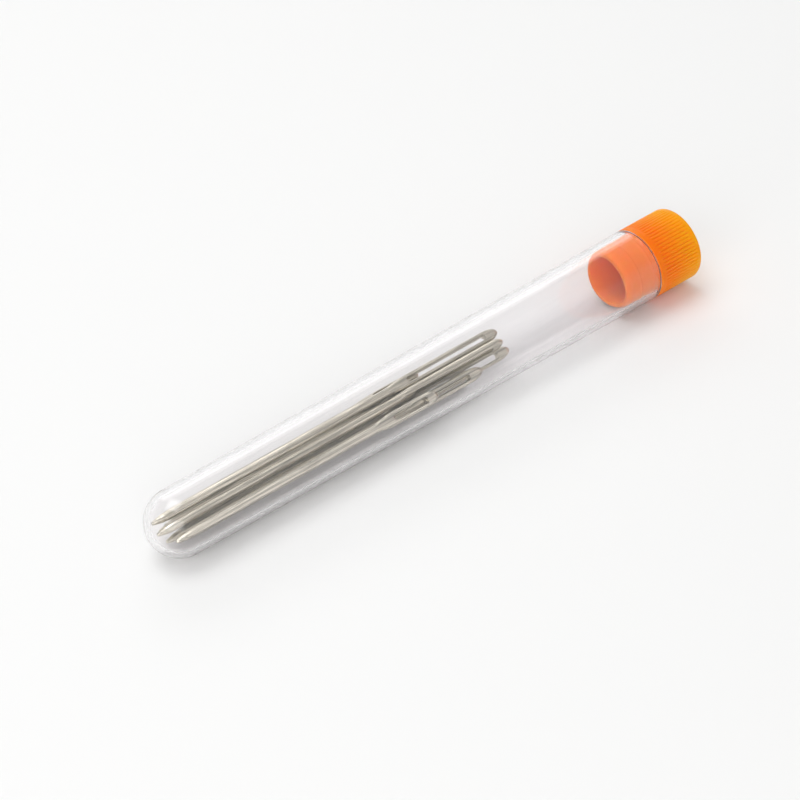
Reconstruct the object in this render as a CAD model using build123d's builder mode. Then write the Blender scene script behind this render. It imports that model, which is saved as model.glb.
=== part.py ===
from build123d import *
import os
from math import acos, atan2, cos, degrees, hypot, radians, sin, sqrt, tan

# A set of large-eye blunt yarn needles in a clear round-bottomed tube with a push-in cap.
# The tube lies on its side on Z = 0, its closed end towards -X and its cap towards +X.
# Its draft makes it rest on one straight line of its wall, so its axis rises towards the cap.

# Tube
tube_length = 102.0
mouth_diameter = 13.0
round_end_diameter = 11.3
wall = 1.0
rim_rounding = 0.25

# Cap: a ribbed grip flush with the tube, and a hollow plug with two sealing beads
grip_length = 9.4
end_wall = 1.2
end_rounding = 0.6
plug_length = 7.0
plug_wall = 0.9
plug_clearance = 0.15
plug_lead_in = 0.35
hollow_rounding = 0.8
bead_depths = (1.1, 4.1)
bead_half_width = 0.4
bead_clearance = 0.05
seat_gap = 0.05
rib_count = 64
rib_groove_radius = 0.17
rib_margin = 0.9

# Long needle
long_length = 70.0
long_shaft = 1.5
long_head_width = 2.25
long_head_thickness = 1.3
long_eye_length = 16.7
long_eye_width = 0.95
long_nose = 2.6

# Medium needle
medium_length = 60.0
medium_shaft = 1.4
medium_head_width = 2.3
medium_head_thickness = 1.25
medium_eye_length = 9.6
medium_eye_width = 1.0
medium_nose = 2.9

# Short needle
short_length = 52.0
short_shaft = 1.3
short_head_width = 2.3
short_head_thickness = 1.2
short_eye_length = 7.0
short_eye_width = 1.05
short_nose = 2.1

# Every needle
point_length = 3.6
point_radius = 0.32
neck_length = 5.0
eye_corner = 0.3
pile_gap = 0.15

# How far the cutting shapes run past what they cut
overrun = 1.0

# The neck widens and the nose closes over these shares of their length, to these shares of
# the growth in width and of the full width and thickness
neck_shares = ((0.0, 0.01), (0.3, 0.22), (0.7, 0.8), (1.0, 1.0))
nose_shares = (
    (0.0, 1.0, 1.0),
    (0.3, 0.95, 0.98),
    (0.55, 0.83, 0.9),
    (0.78, 0.62, 0.72),
    (0.93, 0.4, 0.48),
    (1.0, 0.24, 0.26),
)

# How each needle lies: degrees round the bore from straight down towards +Y, distance from the
# tube's axis as a share of the way to the wall, degrees that its flat turns from level, and
# how far its point stays off the round end as a share of its length
pile_shares = {
    "long_needle_a": (112.5, 0.52, 29, 0.0),
    "long_needle_b": (25.0, 0.07, 104, 0.005),
    "long_needle_c": (1.5, 0.67, 48, 0.008),
    "medium_needle_a": (-36.0, 0.67, 53, 0.056),
    "medium_needle_b": (51.0, 0.58, 94, 0.012),
    "medium_needle_c": (22.5, 1.0, 23, 0.01),
    "short_needle_a": (-69.0, 0.68, 45, 0.018),
    "short_needle_b": (55.0, 1.0, 96, 0.012),
    "short_needle_c": (83.5, 0.905, -14, 0.015),
}

# Radii, and the draft angle at which the tube's cone meets its round end
mouth_radius = mouth_diameter / 2
round_radius = round_end_diameter / 2
round_bore = round_radius - wall
rim = tube_length - round_radius
draft = acos(round_radius / hypot(mouth_radius, rim)) - atan2(rim, mouth_radius)


def bore_at(station):
    """Radius of the tube's bore, at a distance along its axis from the round end's centre."""
    return round_bore / cos(draft) + station * tan(draft)


# The whole set spans from the round end to the lower edge of the cap's end
cap_end = rim + seat_gap + grip_length
reach = (cap_end - end_rounding) * cos(draft) + (mouth_radius - end_rounding) * sin(draft) + end_rounding
round_centre = Vector((round_radius - reach) / 2, 0, round_radius)

# The tube's own frame: X along its axis from the centre of the round end, Y level
along = Vector(cos(draft), 0, sin(draft))
case_frame = Plane(round_centre, x_dir=along, z_dir=(-sin(draft), 0, cos(draft)))
case_profile = Plane(round_centre, x_dir=along, z_dir=-case_frame.y_dir)
case_section = Plane(round_centre, x_dir=case_frame.y_dir, z_dir=along)
case_axis = Axis(round_centre, along)

os.makedirs("parts", exist_ok=True)


def keep(piece, name):
    """Label a finished piece and write it under its name."""
    piece.part.label = name
    export_step(piece.part, f"parts/{name}.step")


# Tube: one even wall round a dome and a cone that opens towards the mouth
dome_sweep = degrees(draft) - 90
with BuildPart() as case_tube:
    with BuildSketch(case_profile):
        with BuildLine():
            outer_dome = CenterArc((0, 0), round_radius, 180, dome_sweep)
            outer_side = Line(outer_dome @ 1, (rim, mouth_radius))
            inner_dome = CenterArc((0, 0), round_bore, 180, dome_sweep)
            inner_side = Line(inner_dome @ 1, (rim, bore_at(rim)))
            Line(outer_side @ 1, inner_side @ 1)
            Line(outer_dome @ 0, inner_dome @ 0)
        make_face()
    revolve(axis=case_axis)
    fillet(case_tube.edges().group_by(case_axis)[-1], rim_rounding)
keep(case_tube, "case_tube")

# Cap: grip, end wall and hollow plug turned in one piece
shoulder = rim + seat_gap
plug_end = rim - plug_length
hollow_end = cap_end - end_wall
hollow_radius = bore_at(plug_end) - plug_clearance - plug_wall


def plug_at(station):
    """Radius of the plug, which follows the bore."""
    return bore_at(station) - plug_clearance


with BuildPart() as cap:
    with BuildSketch(case_profile):
        with BuildLine():
            here = (shoulder, plug_at(shoulder))
            Polyline(here, (shoulder, mouth_radius), (cap_end, mouth_radius), (cap_end, 0))
            Polyline((cap_end, 0), (hollow_end, 0), (hollow_end, hollow_radius), (plug_end, hollow_radius))
            Line((plug_end, hollow_radius), (plug_end, plug_at(plug_end)))
            for depth in bead_depths:
                crest = rim - depth
                start = crest + bead_half_width
                finish = crest - bead_half_width
                Line(here, (start, plug_at(start)))
                ThreePointArc(
                    (start, plug_at(start)),
                    (crest, bore_at(crest) - bead_clearance),
                    (finish, plug_at(finish)),
                )
                here = (finish, plug_at(finish))
            Line(here, (plug_end, plug_at(plug_end)))
        make_face()
    revolve(axis=case_axis)
    end_edges = cap.edges().group_by(case_axis)[-1]
    fillet(end_edges, end_rounding)
    plug_rim = cap.edges().group_by(case_axis)[0].sort_by(SortBy.LENGTH)[-1]
    chamfer(plug_rim, plug_lead_in)
    floor_start = hollow_end - plug_lead_in
    floor_finish = hollow_end + plug_lead_in
    hollow_floor = cap.edges().filter_by_position(case_axis, floor_start, floor_finish)
    fillet(hollow_floor, hollow_rounding)
    with BuildSketch(case_section.offset(shoulder + rib_margin)):
        with PolarLocations(mouth_radius, rib_count):
            Circle(rib_groove_radius)
    extrude(amount=grip_length - 2 * rib_margin, mode=Mode.SUBTRACT)
keep(cap, "cap")


def make_needle(lie, length, shaft, head_width, head_thickness, eye_length, eye_width, nose):
    """A blunt needle along the X of its plane: a ground wire whose end is pressed flat and pierced."""
    radius = shaft / 2
    nose_start = length - nose
    eye_start = nose_start - eye_length
    neck_start = eye_start - neck_length
    flat_slope = (radius - head_thickness / 2) / neck_length
    side = Plane(lie.origin, x_dir=lie.x_dir, z_dir=-lie.y_dir)
    section = Plane(lie.origin, x_dir=lie.y_dir, z_dir=lie.x_dir)
    with BuildPart() as needle:
        # The wire, ground to a rounded blunt point
        with BuildSketch(side):
            with BuildLine():
                tip = CenterArc((point_radius, 0), point_radius, 180, -90)
                swell = TangentArc((point_length, radius), tip @ 1, tangent=(-1, 0))
                Polyline((point_length, radius), (neck_start, radius), (neck_start, 0), tip @ 0)
            make_face()
        revolve(axis=Axis(lie.origin, lie.x_dir))
        # The pressed head, still as thick as the wire
        for along_share, growth_share in neck_shares:
            with BuildSketch(section.offset(neck_start + along_share * neck_length)):
                SlotOverall(shaft + growth_share * (head_width - shaft), shaft)
        for along_share, width_share, thickness_share in nose_shares:
            with BuildSketch(section.offset(nose_start + along_share * nose)):
                SlotOverall(width_share * head_width, thickness_share * shaft)
        loft(ruled=True)
        # Both flats, which run out in a point along the neck
        flat = head_thickness / 2
        with BuildSketch(side):
            for face in (1, -1):
                with BuildLine():
                    Polyline(
                        (neck_start - overrun, face * (radius + overrun * flat_slope)),
                        (eye_start, face * flat),
                        (length + overrun, face * flat),
                        (length + overrun, face * (radius + overrun)),
                        (neck_start - overrun, face * (radius + overrun)),
                        close=True,
                    )
                make_face()
        extrude(amount=head_width / 2 + overrun, both=True, mode=Mode.SUBTRACT)
        # The long eye
        with BuildSketch(lie):
            with Locations((eye_start + eye_length / 2, 0)):
                RectangleRounded(eye_length, eye_width, eye_corner)
        extrude(amount=radius + overrun, both=True, mode=Mode.SUBTRACT)
    return needle


def lie_of(name, shaft, length):
    """The plane of one needle: origin at its point, X towards its eye, Z square to its flat."""
    angle, wall_share, turn, lift_share = pile_shares[name]
    off_axis = wall_share * (round_bore - pile_gap - shaft / 2)
    reach_back = sqrt((round_bore - pile_gap) ** 2 - (off_axis + point_radius) ** 2)
    place = (
        lift_share * length - reach_back,
        off_axis * sin(radians(angle)),
        -off_axis * cos(radians(angle)),
    )
    flat_normal = case_frame.z_dir * cos(radians(turn)) - case_frame.y_dir * sin(radians(turn))
    return Plane(case_frame.from_local_coords(place), x_dir=along, z_dir=flat_normal)


long_sizes = (
    long_length, long_shaft, long_head_width, long_head_thickness,
    long_eye_length, long_eye_width, long_nose,
)
medium_sizes = (
    medium_length, medium_shaft, medium_head_width, medium_head_thickness,
    medium_eye_length, medium_eye_width, medium_nose,
)
short_sizes = (
    short_length, short_shaft, short_head_width, short_head_thickness,
    short_eye_length, short_eye_width, short_nose,
)
for kind, sizes in (("long", long_sizes), ("medium", medium_sizes), ("short", short_sizes)):
    for letter in "abc":
        needle_name = f"{kind}_needle_{letter}"
        lie = lie_of(needle_name, sizes[1], sizes[0])
        keep(make_needle(lie, *sizes), needle_name)
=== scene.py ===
import bpy, bmesh
from math import acos, asin, atan2, cos, degrees, hypot, pi, radians, sin, sqrt, tan
from mathutils import Euler, Matrix, Vector


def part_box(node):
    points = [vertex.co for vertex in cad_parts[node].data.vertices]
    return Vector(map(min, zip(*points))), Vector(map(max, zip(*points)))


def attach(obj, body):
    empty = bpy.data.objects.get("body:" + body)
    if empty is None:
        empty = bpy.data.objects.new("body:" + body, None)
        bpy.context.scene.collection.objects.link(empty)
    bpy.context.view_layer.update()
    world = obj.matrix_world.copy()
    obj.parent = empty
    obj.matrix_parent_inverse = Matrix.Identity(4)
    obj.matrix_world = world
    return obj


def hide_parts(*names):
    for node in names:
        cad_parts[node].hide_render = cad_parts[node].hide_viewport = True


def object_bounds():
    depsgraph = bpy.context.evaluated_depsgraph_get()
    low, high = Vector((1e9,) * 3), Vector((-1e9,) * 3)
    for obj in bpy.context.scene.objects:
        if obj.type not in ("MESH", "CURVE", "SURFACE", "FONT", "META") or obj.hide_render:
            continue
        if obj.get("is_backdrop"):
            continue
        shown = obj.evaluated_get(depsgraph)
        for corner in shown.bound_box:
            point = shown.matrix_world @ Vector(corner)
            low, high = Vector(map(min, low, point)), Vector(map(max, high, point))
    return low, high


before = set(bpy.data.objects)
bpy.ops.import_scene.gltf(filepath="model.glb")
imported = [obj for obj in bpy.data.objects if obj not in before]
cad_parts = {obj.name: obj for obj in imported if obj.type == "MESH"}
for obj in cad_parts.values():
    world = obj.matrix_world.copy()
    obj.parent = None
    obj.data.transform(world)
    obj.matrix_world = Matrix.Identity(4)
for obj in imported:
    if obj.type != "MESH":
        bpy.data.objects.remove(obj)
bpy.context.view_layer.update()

mm = 0.001

# clear case, sizes in mm
caseSizes = {
    "length": 102.0, "mouthRadius": 6.5, "roundRadius": 5.65, "wall": 1.0, "rimRounding": 0.2,
    "turns": 320, "domeSteps": 30,
    "sideShares": (0.004, 0.02, 0.1, 0.4, 0.7, 0.9, 0.98, 0.996, 1.0),
}
roundRadius = caseSizes["roundRadius"]
mouthRadius = caseSizes["mouthRadius"]
roundBore = roundRadius - caseSizes["wall"]
rim = caseSizes["length"] - roundRadius  # stations run along the axis, from the centre of the round end
draft = acos(roundRadius / hypot(mouthRadius, rim)) - atan2(rim, mouthRadius)

# push-in cap
capSizes = {
    "grip": 9.4, "endWall": 1.2, "endRounding": 0.6, "plug": 7.0, "plugWall": 0.9, "clearance": 0.15,
    "leadIn": 0.35, "hollowRounding": 0.8, "beads": (1.1, 4.1), "beadHalf": 0.4, "beadClearance": 0.05,
    "seat": 0.05, "ribs": 64, "ribDepth": 0.17, "ribMargin": 0.9, "ribRunOut": 0.5, "ribSteps": 8,
    "shoulderBand": 0.3, "shoulderEdge": 0.06, "inside": 0.0005,
}
capEnd = rim + capSizes["seat"] + capSizes["grip"]
edge = capSizes["endRounding"]
reach = (capEnd - edge) * cos(draft) + (mouthRadius - edge) * sin(draft) + edge
caseFrame = Matrix.Translation(Vector(((roundRadius - reach) / 2, 0, roundRadius)) * mm)
caseFrame = caseFrame @ Matrix.Rotation(-draft, 4, "Y") @ Matrix.Scale(mm, 4)


def boreAt(station):
    return roundBore / cos(draft) + station * tan(draft)


# small helpers: nodes and meshes

def newSocket(tree, name, side, kind, value=None):
    socket = tree.interface.new_socket(name, in_out=side, socket_type=kind)
    if value is not None:
        socket.default_value = value
    return socket


def node(tree, kind, at=(0, 0), **settings):
    made = tree.nodes.new(kind)
    made.location = at
    for key, value in settings.items():
        setattr(made, key, value)
    return made


def mathNode(tree, operation, first, second=None, at=(0, 0)):
    made = node(tree, "ShaderNodeMath", at, operation=operation)
    for socket, value in zip(made.inputs, (first, second)):
        if value is None:
            continue
        if isinstance(value, (int, float)):
            socket.default_value = value
        else:
            tree.links.new(value, socket)
    return made.outputs[0]


def finishPiece(name, mesh, material, body, stoodFor):
    for polygon in mesh.polygons:
        polygon.use_smooth = True
    mesh.materials.clear()
    mesh.materials.append(material)
    piece = bpy.data.objects.new(name, mesh)
    bpy.context.scene.collection.objects.link(piece)
    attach(piece, body)
    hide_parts(stoodFor)
    return piece


# shader groups that more than one material uses

def makeGrindLines():  # fine lines that run along the needle
    group = bpy.data.node_groups.new("grindLines", "ShaderNodeTree")
    newSocket(group, "Vector", "INPUT", "NodeSocketVector")
    newSocket(group, "Lines", "INPUT", "NodeSocketFloat", 9000.0)
    newSocket(group, "Streaks", "INPUT", "NodeSocketFloat", 1500.0)
    newSocket(group, "Mask", "OUTPUT", "NodeSocketFloat")
    newSocket(group, "Height", "OUTPUT", "NodeSocketFloat")
    start = node(group, "NodeGroupInput", (-900, 0))
    lay = node(group, "ShaderNodeMapping", (-700, 0), vector_type="POINT")
    lay.inputs["Rotation"].default_value = (0, draft, 0)
    lay.inputs["Scale"].default_value = (0.012, 1, 1)  # stretched along the needle
    group.links.new(start.outputs["Vector"], lay.inputs["Vector"])
    fine = node(group, "ShaderNodeTexNoise", (-480, 120))
    fine.inputs["Detail"].default_value = 3.0
    broad = node(group, "ShaderNodeTexNoise", (-480, -140))
    broad.inputs["Detail"].default_value = 2.0
    for texture, name in ((fine, "Lines"), (broad, "Streaks")):
        group.links.new(lay.outputs[0], texture.inputs["Vector"])
        group.links.new(start.outputs[name], texture.inputs["Scale"])
    both = mathNode(group, "MULTIPLY", fine.outputs["Fac"], 0.65, (-260, 60))
    sunk = mathNode(group, "MULTIPLY", broad.outputs["Fac"], 0.35, (-260, -140))
    total = mathNode(group, "ADD", both, sunk, (-80, 0))
    spread = node(group, "ShaderNodeMapRange", (80, -120))
    spread.inputs["From Min"].default_value = 0.42
    spread.inputs["From Max"].default_value = 0.56
    group.links.new(total, spread.inputs["Value"])
    end = node(group, "NodeGroupOutput", (280, 0))
    group.links.new(spread.outputs[0], end.inputs["Mask"])
    group.links.new(total, end.inputs["Height"])
    return group


def makeHandling():  # hairline scuffs, specks and the soft unevenness of moulded plastic
    group = bpy.data.node_groups.new("handlingMarks", "ShaderNodeTree")
    newSocket(group, "Vector", "INPUT", "NodeSocketVector")
    newSocket(group, "Scuff Scale", "INPUT", "NodeSocketFloat", 500.0)
    newSocket(group, "Wave Scale", "INPUT", "NodeSocketFloat", 120.0)
    newSocket(group, "Scuffs", "OUTPUT", "NodeSocketFloat")
    newSocket(group, "Waves", "OUTPUT", "NodeSocketFloat")
    start = node(group, "NodeGroupInput", (-900, 0))
    turned = node(group, "ShaderNodeMapping", (-700, 120))
    turned.inputs["Rotation"].default_value = (0.3, 0.5, 0.4)
    turned.inputs["Scale"].default_value = (0.12, 1.0, 1.6)
    group.links.new(start.outputs["Vector"], turned.inputs["Vector"])
    scratch = node(group, "ShaderNodeTexNoise", (-480, 160))
    scratch.inputs["Detail"].default_value = 6.0
    scratch.inputs["Roughness"].default_value = 0.65
    group.links.new(turned.outputs[0], scratch.inputs["Vector"])
    group.links.new(start.outputs["Scuff Scale"], scratch.inputs["Scale"])
    thin = node(group, "ShaderNodeMapRange", (-260, 160))
    thin.inputs["From Min"].default_value = 0.57
    thin.inputs["From Max"].default_value = 0.72
    group.links.new(scratch.outputs["Fac"], thin.inputs["Value"])
    wave = node(group, "ShaderNodeTexNoise", (-480, -140))
    wave.inputs["Detail"].default_value = 1.0
    group.links.new(start.outputs["Vector"], wave.inputs["Vector"])
    group.links.new(start.outputs["Wave Scale"], wave.inputs["Scale"])
    end = node(group, "NodeGroupOutput", (0, 0))
    group.links.new(thin.outputs[0], end.inputs["Scuffs"])
    group.links.new(wave.outputs["Fac"], end.inputs["Waves"])
    return group


grindLines = makeGrindLines()
handlingMarks = makeHandling()


def startMaterial(name):
    material = bpy.data.materials.new(name)
    material.use_nodes = True
    tree = material.node_tree
    shader = tree.nodes["Principled BSDF"]
    where = node(tree, "ShaderNodeTexCoord", (-1100, 0))
    return material, tree, shader, where


def useGroup(tree, group, where, at, **values):
    made = node(tree, "ShaderNodeGroup", at, node_tree=group)
    tree.links.new(where.outputs["Object"], made.inputs["Vector"])
    for name, value in values.items():
        made.inputs[name.replace("_", " ")].default_value = value
    return made


def blendColours(tree, mask, first, second, at):
    mix = node(tree, "ShaderNodeMix", at, data_type="RGBA")
    mix.inputs["A"].default_value = (*first, 1)
    mix.inputs["B"].default_value = (*second, 1)
    tree.links.new(mask, mix.inputs["Factor"])
    return mix.outputs["Result"]


def spreadValues(tree, mask, low, high, at):
    made = node(tree, "ShaderNodeMapRange", at)
    made.inputs["To Min"].default_value = low
    made.inputs["To Max"].default_value = high
    tree.links.new(mask, made.inputs["Value"])
    return made.outputs[0]


def bumpFrom(tree, height, depth, strength, at):
    made = node(tree, "ShaderNodeBump", at)
    made.inputs["Distance"].default_value = depth
    made.inputs["Strength"].default_value = strength
    tree.links.new(height, made.inputs["Height"])
    return made.outputs[0]


def makeClearPlastic():
    material, tree, shader, where = startMaterial("clearPlastic")
    marks = useGroup(tree, handlingMarks, where, (-820, 0), Scuff_Scale=420.0, Wave_Scale=70.0)
    scuffs = marks.outputs["Scuffs"]
    tint = blendColours(tree, scuffs, (0.985, 0.975, 0.98), (0.93, 0.915, 0.925), (-420, 200))
    tree.links.new(tint, shader.inputs["Base Color"])
    tree.links.new(spreadValues(tree, scuffs, 0.01, 0.07, (-420, 0)), shader.inputs["Roughness"])
    shader.inputs["Transmission Weight"].default_value = 0.985
    shader.inputs["IOR"].default_value = 1.45
    shader.inputs["Specular IOR Level"].default_value = 0.28
    shader.inputs["Metallic"].default_value = 0.0
    # the lamps reach what lies inside the clear wall
    path = node(tree, "ShaderNodeLightPath", (60, 420))
    clear = node(tree, "ShaderNodeBsdfTransparent", (60, -420))
    clear.inputs["Color"].default_value = (0.96, 0.95, 0.955, 1)
    through = node(tree, "ShaderNodeMixShader", (380, 120))
    passed = mathNode(tree, "MULTIPLY", path.outputs["Is Shadow Ray"], 0.7, (220, 420))
    tree.links.new(passed, through.inputs[0])
    tree.links.new(shader.outputs[0], through.inputs[1])
    tree.links.new(clear.outputs[0], through.inputs[2])
    tree.links.new(through.outputs[0], tree.nodes["Material Output"].inputs["Surface"])
    return material


def makeOrangePlastic():
    material, tree, shader, where = startMaterial("orangePlastic")
    marks = useGroup(tree, handlingMarks, where, (-820, 0), Scuff_Scale=900.0, Wave_Scale=160.0)
    axisWay = node(tree, "ShaderNodeSeparateXYZ", (-820, 420))
    tree.links.new(where.outputs["Object"], axisWay.inputs[0])
    outer = node(tree, "ShaderNodeMapRange", (-620, 420), interpolation_type="SMOOTHSTEP")
    # painted glow: the base colour turns more golden towards the grip's outer end, standing in for light
    # shining through that end
    outer.inputs["From Min"].default_value = 0.0475
    outer.inputs["From Max"].default_value = 0.0562
    tree.links.new(axisWay.outputs["X"], outer.inputs["Value"])
    tint = blendColours(tree, marks.outputs["Waves"], (1.0, 0.175, 0.002), (1.0, 0.22, 0.003), (-420, 200))
    # painted glow colour, mixed in by the outer-end mask
    paintedGlow = node(tree, "ShaderNodeMix", (-220, 300), data_type="RGBA")
    paintedGlow.inputs["B"].default_value = (1.0, 0.36, 0.0, 1)
    tree.links.new(tint, paintedGlow.inputs["A"])
    tree.links.new(outer.outputs[0], paintedGlow.inputs["Factor"])
    tree.links.new(paintedGlow.outputs["Result"], shader.inputs["Base Color"])
    scuffs = marks.outputs["Scuffs"]
    tree.links.new(spreadValues(tree, scuffs, 0.42, 0.58, (-420, 0)), shader.inputs["Roughness"])
    tree.links.new(bumpFrom(tree, scuffs, 0.00002, 0.15, (-420, -260)), shader.inputs["Normal"])
    shader.inputs["Subsurface Weight"].default_value = 0.8
    shader.inputs["Subsurface Radius"].default_value = (1.0, 0.3, 0.05)
    shader.inputs["Subsurface Scale"].default_value = 0.003
    shader.inputs["Specular IOR Level"].default_value = 0.22
    shader.inputs["IOR"].default_value = 1.45
    return material


def makeNickel(name, tone, lines, streaks, roughness):
    material, tree, shader, where = startMaterial(name)
    lay = useGroup(tree, grindLines, where, (-820, 0), Lines=lines, Streaks=streaks)
    dark = tuple(0.42 * c for c in tone)
    mask = lay.outputs["Mask"]
    tree.links.new(blendColours(tree, mask, dark, tone, (-420, 200)), shader.inputs["Base Color"])
    rough = spreadValues(tree, mask, roughness + 0.14, roughness, (-420, 0))
    tree.links.new(rough, shader.inputs["Roughness"])
    bump = bumpFrom(tree, lay.outputs["Height"], 0.00006, 0.8, (-420, -260))
    tree.links.new(bump, shader.inputs["Normal"])
    shader.inputs["Metallic"].default_value = 1.0
    return material


clearPlastic = makeClearPlastic()
orangePlastic = makeOrangePlastic()
nickel = {
    "long": makeNickel("nickelLong", (0.84, 0.79, 0.67), 8500.0, 1500.0, 0.27),
    "medium": makeNickel("nickelMedium", (0.80, 0.75, 0.64), 9500.0, 1300.0, 0.29),
    "short": makeNickel("nickelShort", (0.82, 0.77, 0.66), 9000.0, 1800.0, 0.28),
}
print("materials made", len(bpy.data.materials))


# the clear tube: one profile turned round the axis

def arcPoints(centre, radius, first, last, steps):
    points = []
    for k in range(steps + 1):
        turn = radians(first + (last - first) * k / steps)
        points.append((centre[0] + radius * cos(turn), centre[1] + radius * sin(turn)))
    return points


def turnProfile(name, profile, turns):  # profile of (station, radius), open at both ends on the axis
    mesh = bmesh.new()
    rings = []
    for station, radius in profile:
        if radius < 1e-6:
            rings.append([mesh.verts.new((station, 0, 0))])
            continue
        ring = []
        for k in range(turns):
            turn = 2 * pi * (k + 0.5) / turns
            ring.append(mesh.verts.new((station, radius * cos(turn), radius * sin(turn))))
        rings.append(ring)
    for first, second in zip(rings, rings[1:]):
        for k in range(turns):
            corners = [first[k % len(first)], first[(k + 1) % len(first)],
                       second[(k + 1) % len(second)], second[k % len(second)]]
            mesh.faces.new(list(dict.fromkeys(corners)))
    bmesh.ops.recalc_face_normals(mesh, faces=mesh.faces)
    mesh.transform(caseFrame)
    made = bpy.data.meshes.new(name)
    mesh.to_mesh(made)
    mesh.free()
    return made


def tubeProfile():
    lip = caseSizes["rimRounding"]
    slant = degrees(draft)
    outer = arcPoints((0, 0), roundRadius, 180, 90 + slant, caseSizes["domeSteps"])
    inner = arcPoints((0, 0), roundBore, 180, 90 + slant, caseSizes["domeSteps"])
    outerEnd = (rim - lip, mouthRadius - lip * tan(draft))
    innerEnd = (rim - lip, boreAt(rim - lip))
    for side, end in ((outer, outerEnd), (inner, innerEnd)):
        begin = side[-1]
        for share in caseSizes["sideShares"]:  # close together at both ends, so the shading stays true
            side.append((begin[0] + share * (end[0] - begin[0]), begin[1] + share * (end[1] - begin[1])))
    lipOut = arcPoints((rim - lip, mouthRadius - lip), lip, 80, 0, 6)
    lipIn = arcPoints((rim - lip, boreAt(rim) + lip), lip, 0, -80, 6)
    return outer + lipOut + lipIn + inner[::-1]


caseTube = finishPiece(
    "clearTube", turnProfile("clearTube", tubeProfile(), caseSizes["turns"]),
    clearPlastic, "case", "case_tube",
)
print("tube turned", len(caseTube.data.polygons), "faces")


# the cap: one rib's sector of its whole body, repeated round the axis by Geometry Nodes

def capProfile():
    s = capSizes
    shoulder = rim + s["seat"]
    plugEnd = rim - s["plug"]
    hollowEnd = capEnd - s["endWall"]
    hollow = boreAt(plugEnd) - s["clearance"] - s["plugWall"]

    def plugAt(station):
        return boreAt(station) - s["clearance"]

    points = [(capEnd, 0.0)]
    for share in (0.25, 0.5, 0.75, 0.95):
        points.append((capEnd, share * (mouthRadius - s["endRounding"])))
    edge = s["endRounding"]
    points += arcPoints((capEnd - edge, mouthRadius - edge), edge, 0, 90, 8)
    ribStart, ribEnd = shoulder + s["ribMargin"], capEnd - s["ribMargin"]
    for k in range(5):
        points.append((ribEnd - s["ribRunOut"] * k / 4, mouthRadius))
    straight = ribEnd - ribStart - 2 * s["ribRunOut"]
    for k in range(1, 8):
        points.append((ribEnd - s["ribRunOut"] - straight * k / 8, mouthRadius))
    for k in range(5):
        points.append((ribStart + s["ribRunOut"] * (4 - k) / 4, mouthRadius))
    soft = s["shoulderEdge"]
    points += [(shoulder + s["shoulderBand"], mouthRadius)]
    points += arcPoints((shoulder + soft, mouthRadius - soft), soft, 90, 180, 4)
    points += [(shoulder, mouthRadius - 0.5), (shoulder, plugAt(shoulder) + soft)]
    points += [(shoulder - soft, plugAt(shoulder))]
    for depth in s["beads"]:
        crest = rim - depth
        for k in range(-4, 5):
            off = -k * s["beadHalf"] / 4
            lift = (s["clearance"] - s["beadClearance"]) * cos(pi * k / 8) ** 2
            points.append((crest + off, plugAt(crest + off) + lift))
    lead = s["leadIn"]
    points += [(plugEnd + 1.2, plugAt(plugEnd + 1.2)), (plugEnd + lead, plugAt(plugEnd + lead))]
    points += [(plugEnd + 0.08, plugAt(plugEnd) - lead + 0.07), (plugEnd, plugAt(plugEnd) - lead - 0.03)]
    points += [(plugEnd, hollow + 0.1), (plugEnd + 0.1, hollow)]
    for k in range(1, 6):
        points.append((plugEnd + (hollowEnd - s["hollowRounding"] - plugEnd) * k / 6, hollow))
    bend = s["hollowRounding"]
    points += arcPoints((hollowEnd - bend, hollow - bend), bend, 90, 0, 8)
    for share in (0.75, 0.5, 0.25):
        points.append((hollowEnd, share * (hollow - s["hollowRounding"])))
    points.append((hollowEnd, 0.0))
    return points, ribStart, ribEnd


def ribDrop(station, share, ribStart, ribEnd):  # how far the surface sinks between two ribs
    along = min(station - ribStart, ribEnd - station) / capSizes["ribRunOut"]
    fade = max(0.0, min(1.0, along))
    fade = fade * fade * (3 - 2 * fade)
    groove = max(0.0, cos(2 * pi * (share - 0.5))) ** 0.8
    return capSizes["ribDepth"] * fade * groove


def makeSector():
    points, ribStart, ribEnd = capProfile()
    steps = capSizes["ribSteps"]
    mesh = bmesh.new()
    columns = []
    for k in range(steps + 1):
        share = k / steps
        turn = 2 * pi * share / capSizes["ribs"]
        column = []
        for station, radius in points:
            station = min(station, capEnd - capSizes["inside"])
            if radius < 1e-6:
                column.append(columns[0][len(column)] if columns else mesh.verts.new((station, 0, 0)))
                continue
            if abs(radius - mouthRadius) < 1e-6:
                radius -= ribDrop(station, share, ribStart, ribEnd) + capSizes["inside"]
            column.append(mesh.verts.new((station, radius * cos(turn), radius * sin(turn))))
        columns.append(column)
    for first, second in zip(columns, columns[1:]):
        for k in range(len(points) - 1):
            corners = [first[k], first[k + 1], second[k + 1], second[k]]
            mesh.faces.new(list(dict.fromkeys(corners)))
    made = bpy.data.meshes.new("capSector")
    mesh.to_mesh(made)
    mesh.free()
    return made


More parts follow.
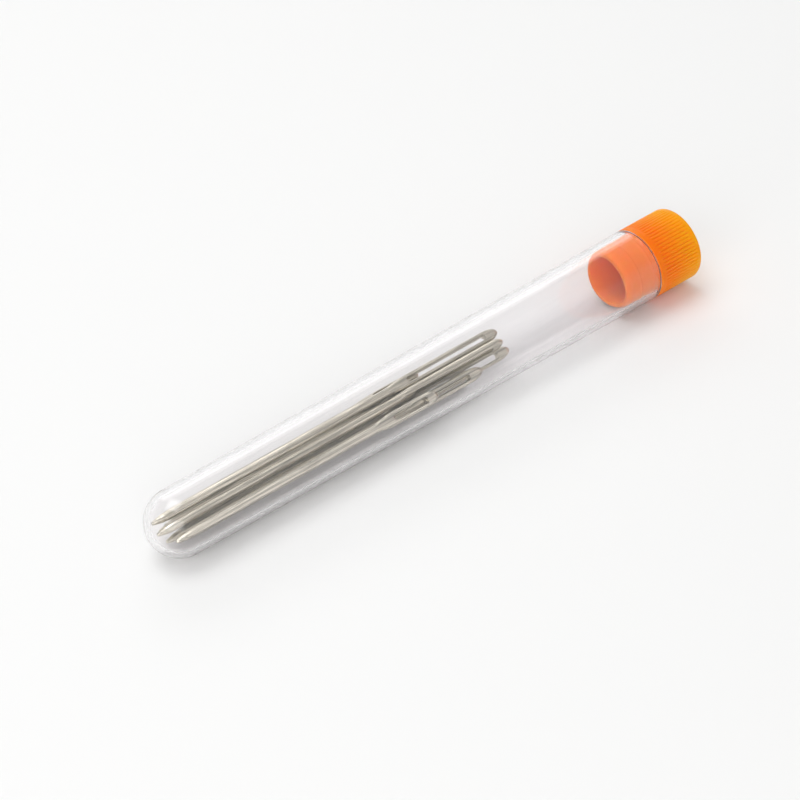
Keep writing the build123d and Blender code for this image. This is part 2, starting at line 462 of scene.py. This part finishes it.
def makeRibTree():
    tree = bpy.data.node_groups.new("capRibs", "GeometryNodeTree")
    newSocket(tree, "Sector", "INPUT", "NodeSocketGeometry")
    count = newSocket(tree, "Rib Count", "INPUT", "NodeSocketInt", 12)
    weld = newSocket(tree, "Weld Distance", "INPUT", "NodeSocketFloat", 0.001)
    paint = newSocket(tree, "Material", "INPUT", "NodeSocketMaterial")
    newSocket(tree, "Cap", "OUTPUT", "NodeSocketGeometry")
    start = node(tree, "NodeGroupInput", (-900, 0))
    points = node(tree, "GeometryNodePoints", (-640, 120))
    tree.links.new(start.outputs["Rib Count"], points.inputs["Count"])
    index = node(tree, "GeometryNodeInputIndex", (-860, -240))
    step = mathNode(tree, "DIVIDE", 2 * pi, start.outputs["Rib Count"], (-640, -120))
    turn = mathNode(tree, "MULTIPLY", index.outputs[0], step, (-460, -200))
    spin = node(tree, "ShaderNodeCombineXYZ", (-280, -200))
    tree.links.new(turn, spin.inputs["X"])
    spinTurn = node(tree, "FunctionNodeEulerToRotation", (-120, -200))
    tree.links.new(spin.outputs[0], spinTurn.inputs[0])
    copies = node(tree, "GeometryNodeInstanceOnPoints", (60, 60))
    tree.links.new(points.outputs[0], copies.inputs["Points"])
    tree.links.new(start.outputs["Sector"], copies.inputs["Instance"])
    tree.links.new(spinTurn.outputs[0], copies.inputs["Rotation"])
    real = node(tree, "GeometryNodeRealizeInstances", (240, 60))
    tree.links.new(copies.outputs[0], real.inputs[0])
    welded = node(tree, "GeometryNodeMergeByDistance", (420, 60))
    tree.links.new(real.outputs[0], welded.inputs["Geometry"])
    tree.links.new(start.outputs["Weld Distance"], welded.inputs["Distance"])
    painted = node(tree, "GeometryNodeSetMaterial", (600, 60))
    tree.links.new(welded.outputs[0], painted.inputs["Geometry"])
    tree.links.new(start.outputs["Material"], painted.inputs["Material"])
    end = node(tree, "NodeGroupOutput", (780, 60))
    tree.links.new(painted.outputs[0], end.inputs["Cap"])
    return tree, {"count": count.identifier, "weld": weld.identifier, "paint": paint.identifier}


def repeatSector():
    sector = bpy.data.objects.new("capSector", makeSector())
    bpy.context.scene.collection.objects.link(sector)
    tree, keys = makeRibTree()
    ribs = sector.modifiers.new("ribs", "NODES")
    ribs.node_group = tree
    ribs[keys["count"]] = capSizes["ribs"]
    ribs[keys["weld"]] = 0.002
    ribs[keys["paint"]] = orangePlastic
    graph = bpy.context.evaluated_depsgraph_get()
    made = bpy.data.meshes.new_from_object(sector.evaluated_get(graph), depsgraph=graph)
    sector.modifiers.clear()
    bpy.data.objects.remove(sector)
    shape = bmesh.new()
    shape.from_mesh(made)
    bmesh.ops.recalc_face_normals(shape, faces=shape.faces)
    shape.transform(caseFrame)
    shape.to_mesh(made)
    shape.free()
    made.name = "ribbedCap"
    return made


ribbedCap = finishPiece("ribbedCap", repeatSector(), orangePlastic, "cap", "cap")
print("cap made", len(ribbedCap.data.polygons), "faces")


# the needles, sizes in mm
needleSizes = {
    "long": {
        "length": 70.0, "shaft": 1.5, "width": 2.25, "thickness": 1.3,
        "eye": 16.7, "slot": 0.95, "nose": 2.6,
    },
    "medium": {
        "length": 60.0, "shaft": 1.4, "width": 2.3, "thickness": 1.25,
        "eye": 9.6, "slot": 1.0, "nose": 2.9,
    },
    "short": {
        "length": 52.0, "shaft": 1.3, "width": 2.3, "thickness": 1.2,
        "eye": 7.0, "slot": 1.05, "nose": 2.1,
    },
}
needleDetail = {"point": 3.6, "pointRadius": 0.32, "neck": 5.0, "slotRounding": 0.07, "softEdge": 0.05,
                "slotSquareness": 0.85, "flatSteps": 3, "sideSteps": 7, "gap": 0.15}
# where each lies: degrees round the bore, share of the way to the wall, turn of its flat,
# lift off the round end
pile = {
    "long_needle_a": (112.5, 0.52, 29, 0.0),
    "long_needle_b": (25.0, 0.07, 104, 0.005),
    "long_needle_c": (1.5, 0.67, 48, 0.008),
    "medium_needle_a": (-36.0, 0.67, 53, 0.056),
    "medium_needle_b": (51.0, 0.58, 94, 0.012),
    "medium_needle_c": (22.5, 1.0, 23, 0.01),
    "short_needle_a": (-69.0, 0.68, 45, 0.018),
    "short_needle_b": (55.0, 1.0, 96, 0.012),
    "short_needle_c": (83.5, 0.905, -14, 0.015),
}


def needleRows(s):
    # each row: station, half width, half height before the flats, height of the flats
    d = needleDetail
    r = s["shaft"] / 2
    noseStart = s["length"] - s["nose"]
    eyeStart = noseStart - s["eye"]
    neckStart = eyeStart - d["neck"]
    tip = d["pointRadius"]
    swell = ((d["point"] - tip) ** 2 + (r - tip) ** 2) / (2 * (r - tip))
    rows = []
    for k in range(1, 7):
        turn = radians(90 * k / 6)
        rows.append((tip * (1 - cos(turn)), tip * sin(turn), tip * sin(turn), r))
    for k in range(1, 9):
        at = tip + (d["point"] - tip) * k / 8
        rise = r - swell + sqrt(swell ** 2 - (d["point"] - at) ** 2)
        rows.append((at, rise, rise, r))
    for k in range(1, 11):
        rows.append((d["point"] + (neckStart - d["point"]) * k / 10, r, r, r))
    for k in range(1, 17):
        share = k / 17
        grown = share * share * (3 - 2 * share)
        flat = r + share * (s["thickness"] / 2 - r)
        rows.append((neckStart + share * d["neck"], r + grown * (s["width"] / 2 - r), r, flat))
    before = len(rows)
    half = s["slot"] / 2
    squareness = d["slotSquareness"]  # below 1 it squares the slot's round ends
    outline = []  # the slot's outline on one side: station, half width, outward direction
    for k in range(9):
        turn = radians(90 * k / 8)
        at = eyeStart + half * (1 - cos(turn) ** squareness)
        outline.append((at, half * sin(turn) ** squareness, -cos(turn), sin(turn)))
    for k in range(1, 12):
        outline.append((eyeStart + half + (s["eye"] - 2 * half) * k / 12, half, 0.0, 1.0))
    for k in range(9):
        turn = radians(90 - 90 * k / 8)
        at = noseStart - half * (1 - cos(turn) ** squareness)
        outline.append((at, half * sin(turn) ** squareness, cos(turn), sin(turn)))
    for at, _, _, _ in outline:
        rows.append((at, s["width"] / 2, r, s["thickness"] / 2))
    after = len(rows)
    for k in range(1, 15):
        share = sin(radians(90 * k / 15))
        wide = sqrt(1 - share ** 2)
        at, high = noseStart + share * s["nose"], sqrt(1 - share ** 3) * r
        rows.append((at, wide * s["width"] / 2, high, s["thickness"] / 2))
    return rows, before, after, outline


def sectionSide(wide, high, flat, inner):
    # right-hand half of one section, from the top inner column down to the bottom one
    d = needleDetail
    high = min(high, wide)
    straight = wide - high  # straight part either side of the middle
    edge = min(asin(min(1.0, min(flat, high) / high)), radians(76))
    soft = d["softEdge"] if flat < high else 0.0
    yEdge = straight + high * cos(edge)
    zEdge = min(flat, high * sin(edge))

    def roundTop(y):
        return high if y <= straight else sqrt(max(0.0, high ** 2 - (y - straight) ** 2))

    points = []
    for k in range(d["flatSteps"]):
        y = inner + (yEdge - soft - inner) * k / d["flatSteps"]
        points.append((y, min(flat, roundTop(y)) if flat < high else roundTop(y)))
    rimHeight = zEdge if flat < high else sqrt(max(0.0, high ** 2 - (yEdge - straight) ** 2))
    points.append((yEdge - soft, rimHeight))
    for k in range(1, d["sideSteps"] + 1):
        turn = edge * (1 - k / d["sideSteps"])
        if k == 1:
            turn = edge - min(edge / d["sideSteps"], max(soft, 0.02) * 1.5 / high)
        points.append((straight + high * cos(turn), high * sin(turn)))
    return points + [(y, -z) for y, z in points[-2::-1]]


def makeNeedle(name, s):
    d = needleDetail
    rows, before, after, outline = needleRows(s)
    mesh = bmesh.new()
    rightSides, leftSides = [], []
    for k, (at, wide, high, flat) in enumerate(rows):
        opened = before < k < after - 1
        inner, shift = 0.0, 0.0
        if before <= k < after:
            x, half, outX, outY = outline[k - before]
            inner, shift = half + outY * d["slotRounding"], outX * d["slotRounding"]
            if not opened:
                inner = 0.0
        side = sectionSide(wide, high, flat, inner)
        right, left = [], []
        for j, (y, z) in enumerate(side):
            last = j in (0, len(side) - 1)
            x = at + (shift if last else 0.0)
            if last and not opened:
                middle = mesh.verts.new((x, 0, z))
                right.append(middle)
                left.append(middle)
            else:
                right.append(mesh.verts.new((x, y, z)))
                left.append(mesh.verts.new((x, -y, z)))
        rightSides.append(right)
        leftSides.append(left)
    for sides in (rightSides, leftSides):
        for first, second in zip(sides, sides[1:]):
            for j in range(len(first) - 1):
                mesh.faces.new((first[j], first[j + 1], second[j + 1], second[j]))
    tip = mesh.verts.new((0, 0, 0))
    end = mesh.verts.new((s["length"], 0, 0))
    for sides in (rightSides, leftSides):
        for j in range(len(sides[0]) - 1):
            mesh.faces.new((tip, sides[0][j], sides[0][j + 1]))
            mesh.faces.new((end, sides[-1][j], sides[-1][j + 1]))
    # the slot's rounded rim and its wall
    thick = s["thickness"] / 2
    soft = d["slotRounding"]
    endRings = {}  # both halves share the wall at the slot's two ends
    drops = [(soft * (1 - sin(radians(t))), thick - soft * (1 - cos(radians(t)))) for t in (30, 60, 90)]
    levels = drops + [(0.0, (thick - soft) / 3), (0.0, -(thick - soft) / 3)]
    levels += [(out, -z) for out, z in drops[::-1]]
    for sign, sides in ((1, rightSides), (-1, leftSides)):
        walls = []
        for k in range(before, after):
            x, half, outX, outY = outline[k - before]
            ends = k in (before, after - 1)
            ring = [sides[k][0]]
            for level, (out, z) in enumerate(levels):
                if ends and sign == -1:
                    ring.append(endRings[k][level + 1])
                    continue
                y = 0.0 if ends else sign * (half + outY * out)
                ring.append(mesh.verts.new((x + outX * out, y, z)))
            ring.append(sides[k][-1])
            walls.append(ring)
            if ends and sign == 1:
                endRings[k] = ring
        for first, second in zip(walls, walls[1:]):
            for j in range(len(first) - 1):
                corners = [first[j], first[j + 1], second[j + 1], second[j]]
                mesh.faces.new(list(dict.fromkeys(corners)))
    bmesh.ops.recalc_face_normals(mesh, faces=mesh.faces)
    lay = pile[name]
    offAxis = lay[1] * (roundBore - d["gap"] - s["shaft"] / 2)
    back = sqrt((roundBore - d["gap"]) ** 2 - (offAxis + d["pointRadius"]) ** 2)
    roundWay = radians(lay[0])
    place = Vector((lay[3] * s["length"] - back, offAxis * sin(roundWay), -offAxis * cos(roundWay)))
    mesh.transform(caseFrame @ Matrix.Translation(place) @ Matrix.Rotation(radians(lay[2]), 4, "X"))
    made = bpy.data.meshes.new(name)
    mesh.to_mesh(made)
    mesh.free()
    return made


for name in pile:
    kind = name.split("_")[0]
    shaped = makeNeedle(name, needleSizes[kind])
    finishPiece(name + ".steel", shaped, nickel[kind], name, name)
    low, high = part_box(name)
    lowest = [min(v.co[i] for v in shaped.vertices) for i in range(3)]
    highest = [max(v.co[i] for v in shaped.vertices) for i in range(3)]
    off = max(abs(a - b) for a, b in zip((*low, *high), (*lowest, *highest)))
    print(name, len(shaped.polygons), "faces, within", round(off * 1000, 3), "mm of its solid")


def makeFloor():
    mesh = bmesh.new()
    bmesh.ops.create_grid(mesh, x_segments=1, y_segments=1, size=6.0)
    made = bpy.data.meshes.new("floor")
    mesh.to_mesh(made)
    mesh.free()
    floor = bpy.data.objects.new("floor", made)
    floor.location = (0, 0, -0.00005)
    bpy.context.scene.collection.objects.link(floor)
    material = bpy.data.materials.new("paleFloor")
    material.use_nodes = True
    shader = material.node_tree.nodes["Principled BSDF"]
    shader.inputs["Base Color"].default_value = (0.9, 0.9, 0.895, 1)
    shader.inputs["Roughness"].default_value = 0.6
    shader.inputs["Specular IOR Level"].default_value = 0.2
    # far from the set the floor goes on as white backdrop, without lighting anything
    tree = material.node_tree
    where = node(tree, "ShaderNodeTexCoord", (-900, -200))
    away = node(tree, "ShaderNodeVectorMath", (-720, -200), operation="LENGTH")
    tree.links.new(where.outputs["Object"], away.inputs[0])
    fade = node(tree, "ShaderNodeMapRange", (-540, -200), interpolation_type="SMOOTHSTEP")
    fade.inputs["From Min"].default_value = 0.3
    fade.inputs["From Max"].default_value = 1.1
    fade.inputs["To Max"].default_value = 0.58
    tree.links.new(away.outputs["Value"], fade.inputs["Value"])
    path = node(tree, "ShaderNodeLightPath", (-900, -460))
    cameraRay, transmissionRay = path.outputs["Is Camera Ray"], path.outputs["Is Transmission Ray"]
    seen = mathNode(tree, "ADD", cameraRay, transmissionRay, (-720, -460))
    seen = mathNode(tree, "ADD", seen, path.outputs["Is Glossy Ray"], (-540, -460))
    seen = mathNode(tree, "MINIMUM", seen, 1.0, (-380, -460))
    glow = mathNode(tree, "MULTIPLY", fade.outputs[0], seen, (-220, -300))
    tree.links.new(glow, shader.inputs["Emission Strength"])
    shader.inputs["Emission Color"].default_value = (1, 1, 1, 1)
    made.materials.append(material)
    floor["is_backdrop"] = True
    return floor


def addSoftbox(name, at, aim, size, power, colour=(1, 1, 1)):
    lamp = bpy.data.lights.new(name, "AREA")
    lamp.shape = "RECTANGLE"
    lamp.size, lamp.size_y = size
    lamp.energy = power
    lamp.color = colour
    holder = bpy.data.objects.new(name, lamp)
    holder.location = at
    holder.rotation_mode = "QUATERNION"
    holder.rotation_quaternion = (Vector(aim) - Vector(at)).to_track_quat("-Z", "Y")
    bpy.context.scene.collection.objects.link(holder)
    return holder


def makeWorld(level):
    world = bpy.data.worlds.new("studio")
    world.use_nodes = True
    bpy.context.scene.world = world
    tree = world.node_tree
    ground = tree.nodes["Background"]
    path = node(tree, "ShaderNodeLightPath", (-900, 0))
    seen = mathNode(tree, "ADD", path.outputs["Is Camera Ray"], path.outputs["Is Glossy Ray"], (-660, 60))
    seen = mathNode(tree, "ADD", seen, path.outputs["Is Transmission Ray"], (-480, 60))
    seen = mathNode(tree, "MINIMUM", seen, 1.0, (-320, 60))
    way = node(tree, "ShaderNodeTexCoord", (-900, -240))
    height = node(tree, "ShaderNodeSeparateXYZ", (-720, -240))
    tree.links.new(way.outputs["Generated"], height.inputs[0])
    low = node(tree, "ShaderNodeMapRange", (-540, -240))  # white near the horizon, dimmer overhead
    low.inputs["From Min"].default_value = 0.2
    low.inputs["From Max"].default_value = 0.55
    low.inputs["To Min"].default_value = 1.0
    low.inputs["To Max"].default_value = 0.2
    tree.links.new(height.outputs["Z"], low.inputs["Value"])
    seen = mathNode(tree, "MULTIPLY", seen, low.outputs[0], (-320, -60))
    strength = mathNode(tree, "MULTIPLY", seen, 1.0 - level, (-160, 60))
    strength = mathNode(tree, "ADD", strength, level, (-20, 60))
    ground.inputs["Color"].default_value = (1, 1, 1, 1)
    tree.links.new(strength, ground.inputs["Strength"])


makeFloor()
addSoftbox("keySoftbox", (-0.1, 0.2, 0.85), (0, 0, 0), (0.6, 0.6), 3.4)
addSoftbox("rearSoftbox", (0.35, 0.75, 0.5), (0, 0, 0), (0.9, 0.35), 1.4)
addSoftbox("frontSoftbox", (-0.65, -0.55, 0.42), (0, 0, 0), (1.0, 0.6), 4.2)
makeWorld(0.45)

camera = bpy.data.objects.new("camera", bpy.data.cameras.new("camera"))
camera.data.lens = 121.2
camera.data.sensor_width = 36
camera.data.clip_start = 0.01
camera.location = Vector((-212.1, -277.3, 270.5)) * mm
camera.rotation_euler = Euler([radians(a) for a in (52.428, 3.708, -39.459)])
bpy.context.scene.collection.objects.link(camera)
bpy.context.scene.camera = camera
bpy.context.scene.view_settings.view_transform = "Standard"

low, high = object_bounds()
print("visual box", [round(v * 1000, 2) for v in (high - low)], "mm")
